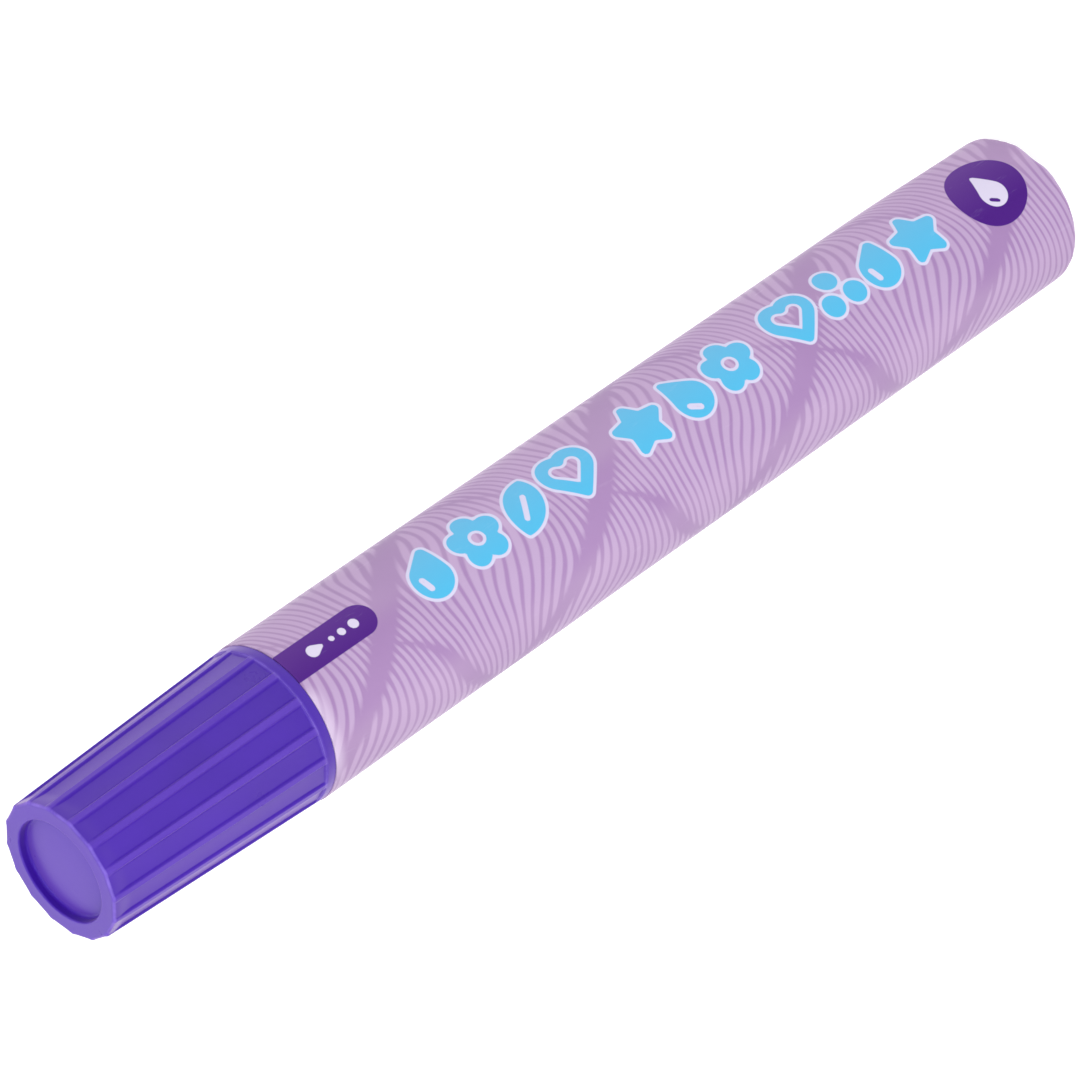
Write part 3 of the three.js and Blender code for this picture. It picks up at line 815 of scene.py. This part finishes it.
def film_look():
    k = Look("printed_shrink_film")
    wave, share = k.attr("wave"), k.attr("share")
    off = k.math("ABSOLUTE", k.math("SUBTRACT", k.math("FRACT", wave), 0.5))
    full = k.math("ADD", 0.362, k.math("MULTIPLY", k.attr("width"), 0.024))
    half = k.math("SUBTRACT", k.math("MULTIPLY", k.math("ADD", k.math("MULTIPLY", share, 0.5), 0.5), full), 0.03)
    light = k.span(k.math("SUBTRACT", half, off), -0.10, 0.11, ease=True)
    light = k.math("MULTIPLY", light, k.span(share, 0.02, 0.55, ease=True))
    cloud = k.noise(60, 2.0)
    side = k.attr("side")
    lilac = k.mix(k.span(cloud, 0.3, 0.7), (0.421, 0.303, 0.484, 1), (0.444, 0.324, 0.504, 1))
    # painted sheen: towards the sides the lilac and the violet turn paler
    lilac = k.mix(side, lilac, k.mix(k.span(cloud, 0.3, 0.7), (0.444, 0.316, 0.498, 1), (0.467, 0.337, 0.518, 1)))
    violet = k.mix(k.span(cloud, 0.35, 0.65), (0.311, 0.189, 0.381, 1), (0.333, 0.207, 0.401, 1))
    violet = k.mix(side, violet, k.mix(k.span(cloud, 0.35, 0.65), (0.348, 0.229, 0.407, 1), (0.371, 0.250, 0.427, 1)))
    colour = k.mix(light, violet, lilac)
    motif, up = k.attr("motif"), k.attr("motif_up")
    outline = k.span(motif, 0.34, 0.52, 1.0, 0.0, ease=True)
    colour = k.mix(outline, colour, (0.565, 0.545, 0.71, 1))
    blue = k.mix(k.span(up, -3.6, 3.6), (0.072, 0.418, 0.672, 1), (0.127, 0.424, 0.660, 1))
    colour = k.mix(k.span(motif, -0.08, 0.08, 1.0, 0.0, ease=True), colour, blue)
    dark = k.attr("dark")
    deep = k.mix(k.span(up, -3.5, 4.5), (0.058, 0.007, 0.182, 1), (0.104, 0.034, 0.234, 1))
    colour = k.mix(k.span(dark, -0.07, 0.08, 1.0, 0.0, ease=True), colour, deep)
    colour = k.mix(k.span(k.attr("mark"), -0.06, 0.07, 1.0, 0.0, ease=True), colour, (0.60, 0.555, 0.70, 1))
    # painted highlight under the cap's rim
    colour = k.mix(k.math("MULTIPLY", k.attr("rim_highlight"), 0.45), colour, (0.70, 0.60, 0.75, 1))
    # the seam on the back, where two layers are glued, and scuffs
    seam = k.math("MULTIPLY", k.attr("seam"), 0.35)
    colour = k.mix(seam, colour, (0.48, 0.40, 0.58, 1))
    scuff = k.span(k.noise(1.0, 4.0, 0.65, at=k.scaled(900, 900, 160)), 0.62, 0.80)
    colour = k.mix(k.math("MULTIPLY", scuff, 0.06), colour, (0.70, 0.66, 0.78, 1))
    # the inner side is unprinted backing
    colour = k.mix(k.attr("outside"), (0.68, 0.63, 0.74, 1), colour)
    fine = k.noise(2600, 2.0)
    ripple = k.noise(1.0, 1.0, at=k.scaled(110, 110, 40))
    rough = k.math("ADD", k.span(ripple, 0.3, 0.7, 0.20, 0.27), k.math("MULTIPLY", scuff, 0.18))
    normal = k.bump(ripple, 0.22, 0.00020)
    normal = k.bump(fine, 0.08, 0.00002, normal)
    return k.set(colour=colour, rough=rough, normal=normal, ior=1.45, shine=0.012, sheen=0.025, sheen_rough=0.9)


def milky_look():
    k = Look("milky_blown_plastic")
    cloud = k.noise(70, 3.0)
    fine = k.noise(1500, 3.0)
    draw = k.noise(1.0, 2.0, at=k.scaled(260, 260, 30))
    colour = k.mix(k.span(cloud, 0.3, 0.7), (0.60, 0.58, 0.63, 1), (0.67, 0.65, 0.69, 1))
    rough = k.math("ADD", k.span(draw, 0.3, 0.7, 0.38, 0.50), k.math("MULTIPLY", fine, 0.08))
    normal = k.bump(fine, 0.3, 0.00004, k.bump(draw, 0.25, 0.00010))
    return k.set(colour=colour, rough=rough, normal=normal, ior=1.5, subsurface=0.15, scatter=(1.0, 0.9, 1.0), scatter_scale=0.0008)


def plug_look():
    k = Look("natural_moulded_plastic")
    cloud = k.noise(120, 3.0)
    fine = k.noise(1800, 3.0)
    colour = k.mix(k.span(cloud, 0.3, 0.7), (0.62, 0.61, 0.58, 1), (0.69, 0.68, 0.65, 1))
    rough = k.math("ADD", k.span(cloud, 0.3, 0.7, 0.36, 0.46), k.math("MULTIPLY", fine, 0.08))
    normal = k.bump(fine, 0.3, 0.00004, k.bump(k.noise(240, 2.0), 0.3, 0.00008))
    return k.set(colour=colour, rough=rough, normal=normal, ior=1.5, subsurface=0.2, scatter=(1.0, 0.95, 0.9), scatter_scale=0.0008)


def collar_look():
    k = Look("white_moulded_plastic")
    cloud = k.noise(110, 3.0)
    fine = k.noise(1500, 3.0)
    colour = k.mix(k.span(cloud, 0.3, 0.7), (0.66, 0.65, 0.68, 1), (0.72, 0.71, 0.73, 1))
    rough = k.math("ADD", k.span(cloud, 0.3, 0.7, 0.30, 0.40), k.math("MULTIPLY", fine, 0.08))
    normal = k.bump(fine, 0.25, 0.00003, k.bump(k.noise(200, 2.0), 0.3, 0.00008))
    return k.set(colour=colour, rough=rough, normal=normal, ior=1.5)


def rubber_look():
    k = Look("soft_violet_rubber")
    cloud = k.noise(150, 3.0)
    grain = k.noise(2400, 4.0, 0.6)
    colour = k.mix(k.span(cloud, 0.3, 0.7), (0.60, 0.52, 0.70, 1), (0.70, 0.62, 0.80, 1))
    rough = k.math("ADD", k.span(cloud, 0.3, 0.7, 0.52, 0.64), k.math("MULTIPLY", grain, 0.12))
    normal = k.bump(grain, 0.4, 0.00005, k.bump(k.noise(300, 2.0), 0.3, 0.00008))
    return k.set(colour=colour, rough=rough, normal=normal, ior=1.45, subsurface=0.25, scatter=(1.0, 0.8, 1.1), scatter_scale=0.0012, sheen=0.15, sheen_rough=0.4)


def foam_look():
    k = Look("white_foam_disc")
    cells = k.cells(2600)
    cloud = k.noise(200, 3.0)
    colour = k.mix(k.span(cells, 0.1, 0.6), (0.66, 0.65, 0.61, 1), (0.76, 0.75, 0.71, 1))
    rough = k.span(cloud, 0.3, 0.7, 0.72, 0.86)
    normal = k.bump(cells, 0.5, 0.00010, k.bump(cloud, 0.3, 0.0001))
    return k.set(colour=colour, rough=rough, normal=normal, ior=1.45)


def glue_look():
    k = Look("cloudy_glue")
    cloud = k.noise(60, 3.0)
    bubbles = k.span(k.cells(420), 0.05, 0.16, 1.0, 0.0, ease=True)
    colour = k.mix(k.span(cloud, 0.3, 0.7), (0.76, 0.75, 0.82, 1), (0.86, 0.85, 0.89, 1))
    colour = k.mix(k.math("MULTIPLY", bubbles, 0.5), colour, (0.95, 0.95, 0.98, 1))
    rough = k.span(cloud, 0.3, 0.7, 0.06, 0.12)
    normal = k.bump(bubbles, 0.3, 0.0001, k.bump(cloud, 0.2, 0.0003))
    return k.set(colour=colour, rough=rough, normal=normal, ior=1.38, subsurface=0.4, scatter=(1.0, 1.0, 1.1), scatter_scale=0.002)


# ---------------------------------------------------------------- the pieces

place(cap_mesh(), cap_look(), "cap", "cap", "cap_shell", sharp=50)
place(film_mesh(), film_look(), "bottle", "print", "label_sleeve", sharp=50)
place(bottle_mesh(), milky_look(), "bottle", "bottle", "bottle", sharp=50)
place(glue_mesh(), glue_look(), "bottle", "glue", "glue_fill", sharp=50)
place(plug_mesh(), plug_look(), "bottle", "plug", "flow_plug", sharp=40)
place(collar_mesh(), collar_look(), "bottle", "collar", "tip_collar", sharp=40)
place(tip_mesh(), rubber_look(), "bottle", "tip_rubber", "rubber_tip", sharp=45)
place(liner_mesh(), foam_look(), "liner", "liner", "cap_liner", sharp=45)

# ---------------------------------------------------------------- floor, light, camera

def floor():
    mesh = bpy.data.meshes.new("floor")
    n, size = 24, 6.0
    g = np.linspace(-size, size, n + 1)
    pts = [(x, y, -0.0002) for x in g for y in g]
    faces = [(i * (n + 1) + j, (i + 1) * (n + 1) + j, (i + 1) * (n + 1) + j + 1, i * (n + 1) + j + 1) for i in range(n) for j in range(n)]
    mesh.from_pydata(pts, [], faces)
    piece = bpy.data.objects.new("floor", mesh)
    SCENE.collection.objects.link(piece)
    k = Look("pale_floor")
    mottle = k.noise(9, 3.0)
    colour = k.mix(k.span(mottle, 0.3, 0.7), (0.545, 0.545, 0.545, 1), (0.555, 0.555, 0.555, 1))
    mesh.materials.append(k.set(colour=colour, rough=0.95, shine=0.1, glow=0.65, glow_colour=(1.0, 1.0, 1.0, 1)))


def softbox(name, azimuth, elevation, distance, width, height, level, aim=(0.0, 0.0, 0.09)):
    """A soft rectangular lamp. level is the brightness of its face, where 1 is white."""
    lamp = bpy.data.lights.new(name, "AREA")
    lamp.shape = "RECTANGLE"
    lamp.size, lamp.size_y = width, height
    lamp.energy = level * math.pi * width * height
    lamp.color = (1.0, 1.0, 1.0)
    ob = bpy.data.objects.new(name, lamp)
    a, e = math.radians(azimuth), math.radians(elevation)
    at = Vector(aim) + distance * Vector((math.cos(a) * math.cos(e), math.sin(a) * math.cos(e), math.sin(e)))
    ob.location = at
    ob.rotation_euler = (at - Vector(aim)).to_track_quat("Z", "Y").to_euler()
    ob.visible_camera = False
    SCENE.collection.objects.link(ob)
    return ob


floor()
world = bpy.data.worlds.new("soft_white")
SCENE.world = world
world.use_nodes = True
world.node_tree.nodes["Background"].inputs["Color"].default_value = (1.0, 1.0, 1.0, 1)
world.node_tree.nodes["Background"].inputs["Strength"].default_value = 0.34

softbox("softbox_front", VIEW_TURN + 8, 22, 1.3, 0.9, 0.8, 2.65)
softbox("softbox_above", VIEW_TURN, 84, 1.4, 1.0, 1.0, 3.6)
softbox("softbox_behind", VIEW_TURN + 180, 36, 1.3, 1.3, 0.9, 1.5)
softbox("softbox_upper_left", VIEW_TURN + 105, 48, 1.5, 1.4, 1.2, 0.85)
softbox("softbox_lower_right", VIEW_TURN - 65, 38, 1.5, 1.4, 1.2, 1.95)

camera = bpy.data.cameras.new("photo_view")
camera.sensor_width = 36.0
camera.lens = 210.13
camera.clip_start, camera.clip_end = 0.01, 50.0
eye = bpy.data.objects.new("photo_view", camera)
turn_rows = ((-0.70341029, 0.62799394, -0.33292279), (-0.18617294, -0.61481731, -0.76638066), (-0.6859691, -0.47709883, 0.5493843))
eye.matrix_world = Matrix.Translation(Vector((-0.273537, -0.629091, 0.547547))) @ Matrix(turn_rows).to_4x4()
SCENE.collection.objects.link(eye)
SCENE.camera = eye

SCENE.view_settings.view_transform = "Standard"
SCENE.view_settings.look = "None"
SCENE.view_settings.exposure = 0.0
SCENE.view_settings.gamma = 1.0

bpy.context.view_layer.update()
